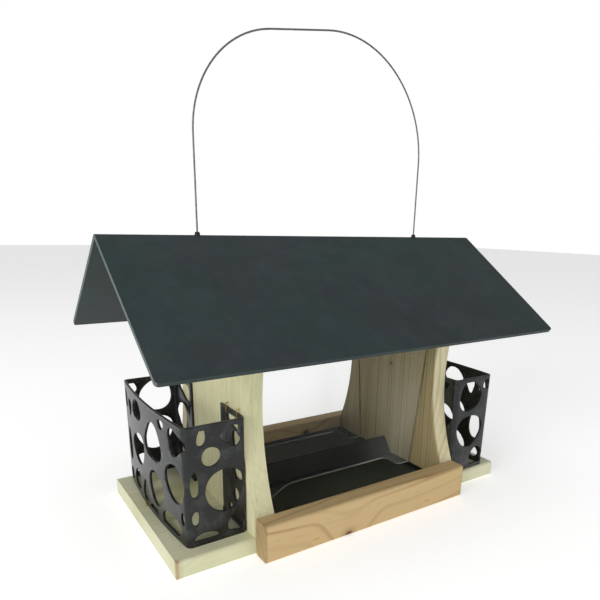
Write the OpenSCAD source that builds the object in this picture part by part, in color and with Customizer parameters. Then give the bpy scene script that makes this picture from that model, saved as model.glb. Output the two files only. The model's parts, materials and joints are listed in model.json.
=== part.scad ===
// Hanging garden bird feeder: a pine base with two gable panels, a lift-up roof on a wire
// bail, two clear hopper panes, a seed tray and a pebble-pattern cage at each end.
// Millimetres. Origin: centre of the base's underside. +X along the roof, -Y is the front.

/* [Base] */
// Width of the base board, front to back
base_w = 192; // [176:2:232]
// How far the base board reaches past the cages at each end
base_lip = 10.5; // [6:0.5:30]
// Thickness of the base board
base_t = 18; // [15:1:24]

/* [Panels] */
// Distance between the inner faces of the two panels
bay_w = 217; // [180:1:240]
// Thickness of a side panel
panel_t = 21; // [17:0.5:26]
// Half width of a panel at its waist
waist_half = 74.5; // [70:0.5:84]
// Height of the waist above the base's underside
waist_z = 137; // [114:1:165]

/* [Rails] */
// How far each end of a rail stops short of the panels' outer faces
rail_inset = 1.5; // [0:0.5:8]
// Thickness of a rail
rail_t = 20; // [16:1:24]
// Height of a rail
rail_h = 38; // [32:1:46]

/* [Roof] */
// Length of the roof along the ridge
roof_l = 450; // [400:5:540]
// Half of the roof's span, ridge to eave, measured level
roof_half = 139; // [120:1:160]
// Height of the ridge's outer edge
ridge_z = 287; // [265:1:330]
// Drop from the ridge to the eave
roof_drop = 95.5; // [80:0.5:110]
// Thickness of the roof moulding
roof_t = 4; // [2.6:0.2:5]

/* [Bail] */
// Diameter of the hanging wire
wire_d = 1.6; // [1.3:0.1:2.4]
// Height of the bail's top, to the middle of the wire
bail_z = 476; // [440:1:580]
// Length of the bail's straight stretch, left of its top
bail_flat = 63; // [20:1:110]
// Rise of that stretch towards the right, in degrees
bail_rise = 9.3; // [0:0.1:15]
// Radius of the bail's left shoulder
bail_r_left = 93; // [70:1:120]

/* [Panes] */
// Thickness of a clear pane
pane_t = 2; // [1.6:0.2:3]
// Distance from the middle to a pane's foot
pane_foot_y = 48; // [44:0.5:56]
// Lean of a pane from upright, in degrees
pane_lean = 6; // [3:0.5:8]
// Height of a pane, measured along it
pane_h = 180; // [140:1:200]
// Height of the seed slot cut into a pane's foot
slot_h = 15; // [10:1:24]

/* [Tray] */
// Thickness of the tray's rim
tray_t = 4; // [3:0.5:6]
// Height of the seed deflector above the tray's rim
ridge_h = 18; // [12:1:24]

/* [Cages] */
// Depth of a cage, from the panel to its outer corners
cage_d = 59; // [49:1:71]
// Length of a cage, front to back
cage_l = 176; // [144:1:180]
// How far each cage is fixed off centre: the left one backwards, the right one forwards
cage_shift = 5.5; // [0:0.5:6]
// Height of a cage
cage_h = 115; // [95:1:138]
// Bow of the outer wall at its middle
cage_bow = 6; // [3:0.5:8]
// Thickness of the cage's walls
cage_wall = 2.5; // [2:0.1:3]
// Length of each flange that a cage is fixed by
cage_flange = 50; // [40:1:60]

/* [Hidden] */

$fn = 48;
eps = 0.01;

// Fits
seat_gap = 0.5;      // tray to panels and rails
mesh_gap = 0.4;      // mesh insert to its recess
groove_gap = 0.4;    // pane to each wall of its groove
foot_gap = 0.5;      // pane's foot to the tray
guide_gap = 0.5;     // wire to a grommet's bore
roof_gap = 0.05;     // gables to the roof's underside

// Timber
arris = 2.5;
bay_half = bay_w / 2;
panel_out = bay_half + panel_t;
base_l = 2 * (panel_out + cage_d + cage_bow + base_lip);
rail_l = 2 * (panel_out - rail_inset);
foot_half = base_w / 2;
foot_top = rail_h;

// Roof
slope = atan2(roof_drop, roof_half);
roof_inner_drop = roof_t / cos(slope);
ridge_round = 4;
eave_round = 3.5;

// Bail and its anchors
leg_gap = 5;                          // panel's outer face to the middle of the wire
leg_x = panel_out + leg_gap;
bail_r_right = (2 * leg_x - bail_r_left * (1 - sin(bail_rise)) - bail_flat * cos(bail_rise))
    / (1 + sin(bail_rise));
shoulder_z_right = bail_z - bail_r_right;
shoulder_z_left = shoulder_z_right + (bail_r_right - bail_r_left) * cos(bail_rise)
    - bail_flat * sin(bail_rise);
eye_drop = 59;                        // ridge to the screw eyes
eye_z = ridge_z - eye_drop;
eye_wire_r = 1;
eye_stand_off = 0.8;                  // ring to the panel
eye_r = leg_gap - eye_wire_r - eye_stand_off;
eye_shank_l = 13;
eye_shank_r = 1.2;
ferrule_r = 2.4;
ferrule_h = 8;
wire_tail = 2;
seam_swell = 1.03;
grommet_r = 2.4;
grommet_up = 1;                       // top above the ridge
grommet_l = 12;
grommet_collar_r = leg_gap - 1;
grommet_collar_t = 2.5;
grommet_cone_r = 3;
grommet_cone_h = 4;
grommet_top_r = wire_d / 2 + guide_gap + 0.6;

// Screws from below into the panels
screw_r = 2;
screw_head_r = 4;
screw_head_h = 3;
screw_l = 45;
screw_y = 0.55 * foot_half;

// Staples, flat wire
staple_w = 1.2;
staple_t = 0.7;
staple_crown = 9;
staple_leg = 12;
staple_fit = 0.1;    // foot staple's legs to the band
rail_staple_x = rail_l / 2 - 54.5;
rail_staple_leg = rail_t + 14;

// Panes
groove_deep = 4;
groove_w = pane_t + 2 * groove_gap;
pane_half = bay_half + groove_deep - 0.5;
pane_foot_z = base_t + tray_t + foot_gap;
slot_half = bay_half - 14;             // slot's half width at the pane's foot
slot_slope = 34;                      // length of each curved end
slot_steps = 8;

// Tray
tray_half_x = bay_half - seat_gap;
tray_half_y = foot_half - 2 * seat_gap;
tray_rim = 7;
ridge_half = 14;
ridge_crest = [2.5, 1.2];             // half width and height of the softened crest
ridge_wall = 2;
ledge = 1.5;
ledge_t = 1;
mesh_t = 1;
window_in = ridge_half + 3;            // windows start clear of the deflector
window_out = tray_half_y - tray_rim;
window_half_x = tray_half_x - tray_rim;

// Cages
band = 5;
band_proud = 0.8;
cage_half = cage_l / 2;
front_reach = cage_half - cage_shift; // middle of the base to the wall nearer to it
hole_margin = 4;                      // plain strip beside each upright corner
bow_r = (pow(cage_half, 2) + pow(cage_bow, 2)) / (2 * cage_bow);
cage_staple_out = min(front_reach, waist_half) - 4.5;
cage_staple_in = max(cage_staple_out - 23, cage_half + cage_shift - cage_flange + 3);
foot_staple_y = 17;

// Pebble holes: [along, up, width, height, lobe, lobe angle, tilt]. Up is from the cage's foot.
// Along is from the outer corner on the short walls, from the middle on the outer wall
// (towards the back), and from the short wall on the flanges.
FRONT_HOLES = [
    [16.5, 104, 8, 17, 0.08, 90, -8], [25, 84.5, 18, 18, 0.02, 0, 0],
    [46, 101, 20, 20, 0.14, -80, 8], [37.5, 50, 38, 42, 0.03, 40, -6],
    [8.5, 60.5, 8, 25, 0.06, 200, 0], [8.5, 28, 7, 14, 0.05, 180, 0],
    [18, 6, 24, 12, 0.02, 0, 0], [48.5, 16, 16, 24, 0.16, -30, -12]
];
BACK_HOLES = [
    [7.5, 105, 9.5, 13, 0.08, 90, 10], [33.5, 93, 36, 36, 0.05, 60, 8],
    [30, 50, 42, 39, 0.06, 20, 12], [13.5, 13, 24, 25, 0.06, -30, 0]
];
OUTER_HOLES = [
    [56.5, 94, 14, 18, 0.14, -90, 6], [27.5, 99, 32, 21, 0.06, 100, -6],
    [28.5, 58, 44, 33, 0.08, 150, -18], [-19.5, 80, 44, 38, 0.1, 110, -16],
    [-71.5, 97, 27, 24, 0.16, -70, 0], [-66.5, 57, 37, 37, 0.04, 30, -20],
    [-22.5, 34, 37, 36, 0.05, 60, -24], [42.5, 17, 28, 22, 0.06, 120, -20],
    [12.5, 16, 17, 25, 0.05, 90, 10], [-13.5, 5, 24, 12, 0.04, 0, 0],
    [-55.5, 11, 42, 22, 0.06, 60, -8], [-80, 27, 6, 13, 0.04, 0, 0],
    [70, 47, 18, 38, 0.06, 90, 0], [-43.5, 106, 12, 9, 0.1, 30, 0],
    [76, 98, 11, 20, 0.06, 90, 0], [72, 12, 16, 14, 0.06, 0, 0]
];
FRONT_FLANGE_HOLES = [
    [23.5, 105, 24, 13, 0.1, 90, 14], [15.5, 87, 20, 19, 0.12, -70, 6],
    [14.5, 57, 19, 17, 0.12, -60, 8], [19.5, 31, 12, 15, 0.08, -80, 12],
    [31.5, 12, 11, 9, 0.05, 0, 0]
];
BACK_FLANGE_HOLES = [
    [30, 103, 34, 19, 0.12, -50, -20], [19, 69, 30, 34, 0.08, -70, -10],
    [35, 38, 18, 20, 0.05, 30, 0], [14, 24, 12, 14, 0.06, 0, 0]
];

// ---- Shared shapes -------------------------------------------------------------------

// A box with its long edges along X rounded
module board(l, w, t, r) {
    rotate([90, 0, 90]) translate([0, 0, -l / 2]) linear_extrude(l) rounded_rect(w, t, r);
}

// A rectangle centred on X, standing on Y = 0, with rounded corners
module rounded_rect(w, h, r) {
    translate([-w / 2, r]) square([w, h - 2 * r]);
    translate([-w / 2 + r, 0]) square([w - 2 * r, h]);
    for (x = [-1, 1], y = [r, h - r]) translate([x * (w / 2 - r), y]) circle(r);
}

// One pebble-shaped outline, an oval with a soft third lobe
function pebble(h) = [
    for (i = [0:23])
        let (a = i * 15, s = 1 + h[4] * cos(3 * (a - h[5])), x = h[2] / 2 * s * cos(a),
             y = h[3] / 2 * s * sin(a))
            [h[0] + x * cos(h[6]) - y * sin(h[6]), h[1] + x * sin(h[6]) + y * cos(h[6])]
];

// Pebble holes of one wall, kept between the top and bottom bands and within its length
module pebbles(holes, from, to, low = band, high = cage_h - band) {
    intersection() {
        for (h = holes) polygon(pebble(h));
        translate([from, low]) square([to - from, high - low]);
    }
}

// A flat-wire staple: crown along Z, legs along +X
module staple(crown, leg) {
    translate([-staple_t, -staple_w / 2, -crown / 2]) cube([staple_t, staple_w, crown]);
    for (z = [-crown / 2, crown / 2 - staple_t])
        translate([-eps, -staple_w / 2, z]) cube([leg + eps, staple_w, staple_t]);
}

// ---- Timber --------------------------------------------------------------------------

module place_rail_staples(side) {
    for (x = [-rail_staple_x, rail_staple_x])
        translate([x, side * (foot_half + rail_t - staple_t), base_t / 2])
            rotate([90, 0, -side * 90]) staple(staple_crown, rail_staple_leg);
}

module panel_screws(side) {
    for (y = [-screw_y, screw_y])
        translate([side * (bay_half + panel_t / 2), y, 0]) {
            cylinder(h = screw_l, r = screw_r);
            cylinder(h = screw_head_h, r1 = screw_head_r, r2 = screw_r);
        }
}

module base_board() {
    color("#c9c696")
    difference() {
        board(base_l, base_w, base_t, arris);
        for (side = [-1, 1]) {
            panel_screws(side);
            place_rail_staples(side);
            place_foot_staple(side);
        }
    }
}

// Outline of a panel, Y across and Z up, with its gable cut to the roof's underside
module panel_outline() {
    reach = foot_half - waist_half;
    waist_r = (pow(waist_z - foot_top, 2) + pow(reach, 2)) / (2 * reach);
    difference() {
        translate([-foot_half, base_t]) square([base_w, ridge_z]);
        for (side = [-1, 1]) {
            intersection() {
                translate([side * (waist_half + waist_r), waist_z]) circle(waist_r, $fn = 180);
                translate([side > 0 ? 0 : -roof_half, foot_top]) square([roof_half, ridge_z]);
            }
        }
        under = ridge_z - roof_inner_drop - roof_gap / cos(slope);
        far = 2 * roof_half;
        polygon([[0, under], [far, under - far * tan(slope)], [far, 2 * ridge_z],
                 [-far, 2 * ridge_z], [-far, under - far * tan(slope)]]);
    }
}

// The leaning slot that a pane slides in, as a slab as long as wanted
module pane_slab(side, half_x, thick, from, to) {
    translate([0, side * pane_foot_y, pane_foot_z]) rotate([-side * pane_lean, 0, 0])
        translate([-half_x, -thick / 2, from]) cube([2 * half_x, thick, to - from]);
}

module side_panel(side) {
    color("#d2cba2")
    difference() {
        translate([side * (bay_half + panel_t / 2) - panel_t / 2, 0, 0])
            rotate([90, 0, 90]) linear_extrude(panel_t) panel_outline();
        for (way = [-1, 1]) {
            pane_slab(way, bay_half + groove_deep, groove_w, -foot_gap - tray_t, ridge_z);
        }
        panel_screws(side);
        place_cage_staples(side);
        translate([side * panel_out, 0, eye_z]) rotate([0, 90, 0])
            cylinder(h = 2 * eye_shank_l, r = eye_shank_r, center = true);
    }
}

module side_panel_left() { side_panel(-1); }
module side_panel_right() { side_panel(1); }

module rail(side) {
    color("#cfb185")
    difference() {
        translate([0, side * (foot_half + rail_t / 2), 0]) board(rail_l, rail_t, rail_h, arris);
        place_rail_staples(side);
    }
}

module front_rail() { rail(-1); }
module back_rail() { rail(1); }

module panel_screws_left() { color("silver") panel_screws(-1); }
module panel_screws_right() { color("silver") panel_screws(1); }
module rail_staples_front() { color("goldenrod") place_rail_staples(-1); }
module rail_staples_back() { color("goldenrod") place_rail_staples(1); }

// ---- Seed tray -----------------------------------------------------------------------

// Half section of the deflector ridge, as Y and Z points
function ridge_outline(half, top) = [
    [-half, 0], [-ridge_crest[0], top - ridge_crest[1]], [0, top],
    [ridge_crest[0], top - ridge_crest[1]], [half, 0]
];

module seed_tray() {
    color("#262829")
    translate([0, 0, base_t])
    difference() {
        union() {
            translate([-tray_half_x, -tray_half_y, 0]) cube([2 * tray_half_x, 2 * tray_half_y, tray_t]);
            translate([0, 0, tray_t]) rotate([90, 0, 90])
                translate([0, 0, -tray_half_x]) linear_extrude(2 * tray_half_x)
                    polygon(ridge_outline(ridge_half, ridge_h));
        }
        rotate([90, 0, 90]) translate([0, 0, -tray_half_x + ridge_wall])
            linear_extrude(2 * (tray_half_x - ridge_wall)) union() {
                polygon(ridge_outline(ridge_half - ridge_wall, tray_t + ridge_h - 1.5 * ridge_wall));
                translate([-ridge_half + ridge_wall, -1]) square([2 * (ridge_half - ridge_wall), 1.5]);
            }
        for (side = [-1, 1]) {
            window(side, 0, -1, tray_t + 2);
            window(side, ledge + mesh_gap, -1, tray_t - ledge_t + 1);
        }
    }
}

// One window of the tray, grown by a margin
module window(side, grow, z, h) {
    mid = side * (window_in + window_out) / 2;
    long = 2 * (window_half_x + grow);
    wide = window_out - window_in + 2 * grow;
    translate([-long / 2, mid - wide / 2, z]) cube([long, wide, h]);
}

module tray_mesh(side) {
    color("#151617")
    window(side, ledge, base_t + tray_t - ledge_t - mesh_t, mesh_t);
}

module tray_mesh_front() { tray_mesh(-1); }
module tray_mesh_back() { tray_mesh(1); }

// ---- Panes ---------------------------------------------------------------------------

// One curved end of the seed slot, from a pane's foot up to the slot's top
function slot_end(side) = [
    for (i = [0:slot_steps]) let (part = i / slot_steps)
        [side * (slot_half - slot_slope * part), slot_h * (1 - cos(180 * part)) / 2]
];

module pane(side) {
    color("#dfe8ea", 0.4)
    translate([0, side * pane_foot_y, pane_foot_z]) rotate([-side * pane_lean, 0, 0])
        rotate([90, 0, 0]) translate([0, 0, -pane_t / 2]) linear_extrude(pane_t)
            pane_shape();
}

module pane_shape() {
    right = slot_end(1);
    difference() {
        translate([-pane_half, 0]) square([2 * pane_half, pane_h]);
        polygon(concat(slot_end(-1), [for (i = [slot_steps:-1:0]) right[i]],
                       [[slot_half, -1], [-slot_half, -1]]));
    }
}

module front_pane() { pane(-1); }
module back_pane() { pane(1); }

// ---- Cages ---------------------------------------------------------------------------

// Plan of a cage's outside at the left-hand end, before its shift, shrunk by an inset
module cage_plan(inset) {
    intersection() {
        translate([-panel_out - cage_d - 2 * cage_bow, -cage_half + inset])
            square([cage_d + 2 * cage_bow - inset, cage_l - 2 * inset]);
        translate([-panel_out - cage_d - cage_bow + bow_r, 0]) circle(bow_r - inset, $fn = 360);
    }
}

module cage() {
    translate([0, cage_shift, base_t])
    difference() {
        union() {
            linear_extrude(cage_h) cage_plan(0);
            linear_extrude(band) cage_plan(-band_proud);
        }
        translate([0, 0, -1]) linear_extrude(cage_h + 2) cage_plan(cage_wall);
        translate([-panel_out - cage_wall - 1, -cage_half + cage_flange, -1])
            cube([cage_wall + 3, cage_l - 2 * cage_flange, cage_h + 2]);
        translate([-panel_out, -cage_l, -1]) cube([band, 2 * cage_l, cage_h + 2]);
        cage_holes();
    }
}

// Every pebble hole of one cage
module cage_holes() {
    corner = -panel_out - cage_d;
    inner = cage_d - cage_wall - 1;
    flange_end = cage_flange - 3;
    translate([corner, -cage_half + 2 * cage_wall, 0]) rotate([90, 0, 0])
        linear_extrude(4 * cage_wall) pebbles(FRONT_HOLES, hole_margin, inner);
    translate([corner, cage_half + 2 * cage_wall, 0]) rotate([90, 0, 0])
        linear_extrude(4 * cage_wall) pebbles(BACK_HOLES, hole_margin, inner);
    translate([corner - 2 * cage_bow, 0, 0]) rotate([90, 0, 90])
        linear_extrude(3 * cage_bow)
            pebbles(OUTER_HOLES, -cage_half + hole_margin, cage_half - hole_margin);
    translate([-panel_out - 2 * cage_wall, -cage_half, 0]) rotate([90, 0, 90])
        linear_extrude(3 * cage_wall) pebbles(FRONT_FLANGE_HOLES, hole_margin, flange_end);
    mirror([0, 1, 0])
        translate([-panel_out - 2 * cage_wall, -cage_half, 0]) rotate([90, 0, 90])
            linear_extrude(3 * cage_wall) pebbles(BACK_FLANGE_HOLES, hole_margin, flange_end);
}

// Both cages are one moulding, turned half round for the right-hand end
module at_end(side) { rotate([0, 0, side > 0 ? 180 : 0]) children(); }

// Staples over each flange's top edge, into the panel
module place_cage_staples(side) {
    at_end(side)
        for (y = [cage_staple_in, cage_staple_out], way = [-1, 1])
            translate([-panel_out - cage_wall, way * y, base_t + cage_h]) staple(staple_crown, staple_leg);
}

// One staple over the bottom band, into the base
module place_foot_staple(side) {
    crown = cage_wall + band_proud + 2 * (staple_t + staple_fit);
    middle = -panel_out - cage_d - cage_bow + (cage_wall - band_proud) / 2;
    at_end(side)
        translate([middle, foot_staple_y, base_t + band]) rotate([0, 90, 0]) staple(crown, staple_leg);
}

module cage_node(side) {
    color("#33383c")
    difference() {
        at_end(side) cage();
        place_cage_staples(side);
        place_foot_staple(side);
    }
}

module cage_left() { cage_node(-1); }
module cage_right() { cage_node(1); }

module cage_staples(side) {
    color("goldenrod") {
        place_cage_staples(side);
        place_foot_staple(side);
    }
}

module cage_staples_left() { cage_staples(-1); }
module cage_staples_right() { cage_staples(1); }

// ---- Bail ----------------------------------------------------------------------------

// One bend of the wire, turned from +Z towards +X, and whatever follows it. A ball that is
// hardly thicker than the wire closes each seam.
module wire_bend(r, angle) {
    sphere(d = wire_d * seam_swell);
    translate([r, 0, 0]) rotate([90, 0, 0]) rotate([0, 0, 180 - angle])
        rotate_extrude(angle = angle, $fn = 96) translate([r, 0]) circle(d = wire_d, $fn = 24);
    translate([r, 0, 0]) rotate([0, angle, 0]) translate([-r, 0, 0]) {
        sphere(d = wire_d * seam_swell);
        children();
    }
}

module hanger_wire() {
    foot = eye_z - eye_wire_r - ferrule_h - wire_tail;
    left_leg = shoulder_z_left - foot;
    color("#4a4a48")
    translate([-leg_x, 0, foot]) {
        cylinder(h = left_leg, d = wire_d);
        translate([0, 0, left_leg]) wire_bend(bail_r_left, 90 - bail_rise) {
            cylinder(h = bail_flat, d = wire_d);
            translate([0, 0, bail_flat]) wire_bend(bail_r_right, 90 + bail_rise)
                cylinder(h = shoulder_z_right - foot, d = wire_d);
        }
    }
}

module screw_eye(side) {
    color("silver") {
        translate([side * leg_x, 0, eye_z])
            rotate_extrude() translate([eye_r, 0]) circle(eye_wire_r, $fn = 24);
        translate([side * (leg_x - eye_r), 0, eye_z]) rotate([0, -side * 90, 0])
            cylinder(h = leg_gap - eye_r + eye_shank_l, r = eye_shank_r);
    }
}

module screw_eye_left() { screw_eye(-1); }
module screw_eye_right() { screw_eye(1); }

module wire_ferrule(side) {
    color("silver")
    translate([side * leg_x, 0, eye_z - eye_wire_r - ferrule_h])
        difference() {
            cylinder(h = ferrule_h, r = ferrule_r);
            translate([0, 0, -1]) cylinder(h = ferrule_h + 2, d = wire_d);
        }
}

module wire_ferrule_left() { wire_ferrule(-1); }
module wire_ferrule_right() { wire_ferrule(1); }

// ---- Roof ----------------------------------------------------------------------------

// Section of the roof, Y across and Z up, with a softened ridge
function roof_outer() = concat(
    [[-roof_half, ridge_z - roof_drop]],
    [for (i = [0:6]) let (a = 90 + slope * (1 - i / 3))
        [ridge_round * cos(a), ridge_z - ridge_round / cos(slope) + ridge_round * sin(a)]],
    [[roof_half, ridge_z - roof_drop]]);

module roof_section() {
    skin = [roof_t * sin(slope), roof_t * cos(slope)];
    eave = ridge_z - roof_drop;
    polygon(concat(roof_outer(), [
        [roof_half - skin[0], eave - skin[1]], [0, ridge_z - roof_inner_drop],
        [-roof_half + skin[0], eave - skin[1]]]));
}

module roof() {
    color("#39403f")
    difference() {
        rotate([90, 0, 90]) translate([0, 0, -roof_l / 2]) linear_extrude(roof_l) roof_section();
        for (x = [-1, 1], y = [-1, 1]) eave_corner(x, y);
        for (x = [-leg_x, leg_x]) translate([x, 0, ridge_z - 20]) cylinder(h = 40, r = grommet_r);
    }
}

// What is cut off one corner of the eave to round it
module eave_corner(x, y) {
    translate([x * roof_l / 2, y * roof_half, ridge_z - roof_drop]) rotate([-y * slope, 0, 0])
        difference() {
            translate([x > 0 ? -eave_round : -1, y > 0 ? -eave_round : -1, -2 * roof_t])
                cube([eave_round + 1, eave_round + 1, 4 * roof_t]);
            translate([-x * eave_round, -y * eave_round, -3 * roof_t])
                cylinder(h = 6 * roof_t, r = eave_round);
        }
}

module roof_grommet(side) {
    foot = ridge_z + grommet_up - grommet_l;
    color("#1c1e1f")
    translate([side * leg_x, 0, 0])
        difference() {
            union() {
                translate([0, 0, foot]) cylinder(h = grommet_l, r = grommet_r);
                translate([0, 0, foot]) cylinder(h = grommet_collar_t, r = grommet_collar_r);
                difference() {
                    translate([0, 0, ridge_z - grommet_cone_h / 2])
                        cylinder(h = grommet_cone_h, r1 = grommet_cone_r, r2 = grommet_top_r);
                    rotate([90, 0, 90]) translate([0, 0, -10]) linear_extrude(20)
                        polygon(concat(roof_outer(), [[roof_half, 0], [-roof_half, 0]]));
                }
            }
            translate([0, 0, ridge_z - 20]) cylinder(h = 40, d = wire_d + 2 * guide_gap);
        }
}

module roof_grommet_left() { roof_grommet(-1); }
module roof_grommet_right() { roof_grommet(1); }

base_board();
side_panel_left();
side_panel_right();
front_rail();
back_rail();
panel_screws_left();
panel_screws_right();
rail_staples_front();
rail_staples_back();
seed_tray();
tray_mesh_front();
tray_mesh_back();
front_pane();
back_pane();
cage_left();
cage_right();
cage_staples_left();
cage_staples_right();
hanger_wire();
screw_eye_left();
screw_eye_right();
wire_ferrule_left();
wire_ferrule_right();
roof();
roof_grommet_left();
roof_grommet_right();
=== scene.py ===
"""Hanging bird feeder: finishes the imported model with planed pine, moulded plastic, clear panes and wire."""

import json
import math

import bpy
from bpy.props import FloatProperty, FloatVectorProperty, IntProperty, PointerProperty
from mathutils import Matrix, Vector


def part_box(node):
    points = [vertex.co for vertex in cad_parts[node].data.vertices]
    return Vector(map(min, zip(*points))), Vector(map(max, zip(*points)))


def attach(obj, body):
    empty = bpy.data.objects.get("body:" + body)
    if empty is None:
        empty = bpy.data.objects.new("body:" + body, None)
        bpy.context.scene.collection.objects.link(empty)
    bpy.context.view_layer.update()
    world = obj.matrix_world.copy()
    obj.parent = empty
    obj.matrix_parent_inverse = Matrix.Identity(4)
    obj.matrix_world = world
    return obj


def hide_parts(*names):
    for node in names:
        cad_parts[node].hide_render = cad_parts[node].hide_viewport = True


bl_info = {
    "name": "Bird Feeder",
    "version": (1, 0, 0),
    "blender": (4, 5, 0),
    "location": "View3D > Sidebar > Feeder",
    "description": "Builds the visible pieces of a hanging bird feeder round its packed model",
    "category": "Object",
}

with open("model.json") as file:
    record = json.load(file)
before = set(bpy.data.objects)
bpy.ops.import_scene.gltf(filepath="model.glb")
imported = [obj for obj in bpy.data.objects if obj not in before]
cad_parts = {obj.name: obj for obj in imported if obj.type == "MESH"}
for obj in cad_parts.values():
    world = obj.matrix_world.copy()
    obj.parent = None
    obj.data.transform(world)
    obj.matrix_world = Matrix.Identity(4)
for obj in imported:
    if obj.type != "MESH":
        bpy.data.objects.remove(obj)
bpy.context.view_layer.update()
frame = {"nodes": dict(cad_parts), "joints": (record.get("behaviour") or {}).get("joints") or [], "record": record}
MM = 0.001
SIDES = ((-1, "left"), (1, "right"))
FACES = ((-1, "front"), (1, "back"))
PAINTED_REFLECTION = 9.0  # painted reflection: pale veil laid over a pane's right-hand end, as a multiple of its veil
STEP = 0.3 * MM  # height of the small slope over a cage's foot band

# Pebble holes of a cage, the same as in the part's source, in millimetres and degrees:
# (along, up, width, height, lobe, lobe angle, tilt).
FRONT_HOLES = (
    (16.5, 104, 8, 17, 0.08, 90, -8), (25, 84.5, 18, 18, 0.02, 0, 0),
    (46, 101, 20, 20, 0.14, -80, 8), (37.5, 50, 38, 42, 0.03, 40, -6),
    (8.5, 60.5, 8, 25, 0.06, 200, 0), (8.5, 28, 7, 14, 0.05, 180, 0),
    (18, 6, 24, 12, 0.02, 0, 0), (48.5, 16, 16, 24, 0.16, -30, -12),
)
BACK_HOLES = (
    (7.5, 105, 9.5, 13, 0.08, 90, 10), (33.5, 93, 36, 36, 0.05, 60, 8),
    (30, 50, 42, 39, 0.06, 20, 12), (13.5, 13, 24, 25, 0.06, -30, 0),
)
OUTER_HOLES = (
    (56.5, 94, 14, 18, 0.14, -90, 6), (27.5, 99, 32, 21, 0.06, 100, -6),
    (28.5, 58, 44, 33, 0.08, 150, -18), (-19.5, 80, 44, 38, 0.1, 110, -16),
    (-71.5, 97, 27, 24, 0.16, -70, 0), (-66.5, 57, 37, 37, 0.04, 30, -20),
    (-22.5, 34, 37, 36, 0.05, 60, -24), (42.5, 17, 28, 22, 0.06, 120, -20),
    (12.5, 16, 17, 25, 0.05, 90, 10), (-13.5, 5, 24, 12, 0.04, 0, 0),
    (-55.5, 11, 42, 22, 0.06, 60, -8), (-80, 27, 6, 13, 0.04, 0, 0),
    (70, 47, 18, 38, 0.06, 90, 0), (-43.5, 106, 12, 9, 0.1, 30, 0),
    (76, 98, 11, 20, 0.06, 90, 0), (72, 12, 16, 14, 0.06, 0, 0),
)
FRONT_FLANGE_HOLES = (
    (23.5, 105, 24, 13, 0.1, 90, 14), (15.5, 87, 20, 19, 0.12, -70, 6),
    (14.5, 57, 19, 17, 0.12, -60, 8), (19.5, 31, 12, 15, 0.08, -80, 12), (31.5, 12, 11, 9, 0.05, 0, 0),
)
BACK_FLANGE_HOLES = (
    (30, 103, 34, 19, 0.12, -50, -20), (19, 69, 30, 34, 0.08, -70, -10),
    (35, 38, 18, 20, 0.05, 30, 0), (14, 24, 12, 14, 0.06, 0, 0),
)


# ---- Settings a user would change ------------------------------------------------------


def colour(name, text, value):
    return FloatVectorProperty(
        name=name, description=text, default=value, subtype="COLOR", size=3, min=0, max=1)


def length(name, text, value):
    return FloatProperty(name=name, description=text, default=value, unit="LENGTH", subtype="DISTANCE", min=0)


def angle(name, text, degrees):
    return FloatProperty(name=name, description=text, default=math.radians(degrees), subtype="ANGLE")


class FeederTimber(bpy.types.PropertyGroup):
    """Colours and figure of the pine."""

    base_light: colour("Base early wood", "Pale wood of the base board", (0.76, 0.75, 0.53))
    base_dark: colour("Base late wood", "Grain lines of the base board", (0.6, 0.55, 0.32))
    panel_light: colour("Panel early wood", "Pale wood of the side panels", (0.72, 0.685, 0.44))
    panel_dark: colour("Panel late wood", "Grain lines of the side panels", (0.5, 0.42, 0.22))
    sap_light: colour("Sapwood", "Pale wood of the right-hand panel", (0.82, 0.77, 0.52))
    inner_dark: colour("Sapwood lines", "Grain lines of the right-hand panel", (0.42, 0.31, 0.14))
    # Painted shade: this colour darkens the right-hand panel's inner face, which lies in shade under the roof.
    inner_face_shade: colour("Heartwood", "What heartwood multiplies pale wood by", (0.38, 0.33, 0.22))
    rail_light: colour("Rail early wood", "Pale wood of the rails", (0.59, 0.43, 0.215))
    rail_dark: colour("Rail late wood", "Grain lines of the rails", (0.34, 0.195, 0.075))
    knot: colour("Knot", "Heart of a dead knot", (0.1, 0.035, 0.012))
    live_knot: colour("Live knot", "Heart of a sound knot", (0.5, 0.31, 0.13))
    end_shade: FloatProperty(name="End shade", description="How much darker end grain is", default=0.15)
    arris: length("Arris", "Softening of the sawn edges", 0.8 * MM)


class FeederPlastic(bpy.types.PropertyGroup):
    """Colours and edges of the mouldings."""

    roof: colour("Roof", "Slate grey of the roof", (0.034, 0.042, 0.0455))
    # Painted light: a paler copy of the roof plastic for the gable edge faces, standing in for the light the edge
    # catches.
    lit_roof_edge: colour("Roof edge", "Paler cut edge of the roof", (0.1, 0.115, 0.115))
    cage: colour("Cage", "Charcoal of the end cages", (0.0095, 0.0103, 0.0103))
    tray: colour("Tray", "Black of the seed tray", (0.008, 0.0085, 0.0078))
    mesh: colour("Mesh", "Black of the floor mesh", (0.034, 0.034, 0.03))
    edge: length("Edge radius", "Rounding of a moulded edge", 0.5 * MM)
    corner: length("Corner radius", "Rounding of a cage's upright corners, on the wall's middle", 4.2 * MM)
    wall: length("Cage wall", "Thickness of a cage's wall", 2.5 * MM)
    flange: length("Flange", "Length of a cage's flange against the panel", 50 * MM)
    bow: length("Bow", "How far the outer wall bows out", 6 * MM)
    band: length("Band", "Height of the plain band round the top and foot", 5 * MM)
    proud: length("Proud", "How far the foot band stands proud", 0.8 * MM)
    pebble_points: IntProperty(name="Points", description="Points round one pebble hole", default=44, min=12)


class FeederClear(bpy.types.PropertyGroup):
    """Panes and floor mesh."""

    pane: colour("Pane", "Faint veil of the clear panes", (0.7, 0.73, 0.7))
    veil: FloatProperty(name="Veil", description="How much light a pane's face holds back", default=0.012)
    pitch: length("Pitch", "Pitch of the floor mesh", 1.3 * MM)
    strand: length("Strand", "Thickness of a strand of the mesh", 0.48 * MM)


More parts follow.
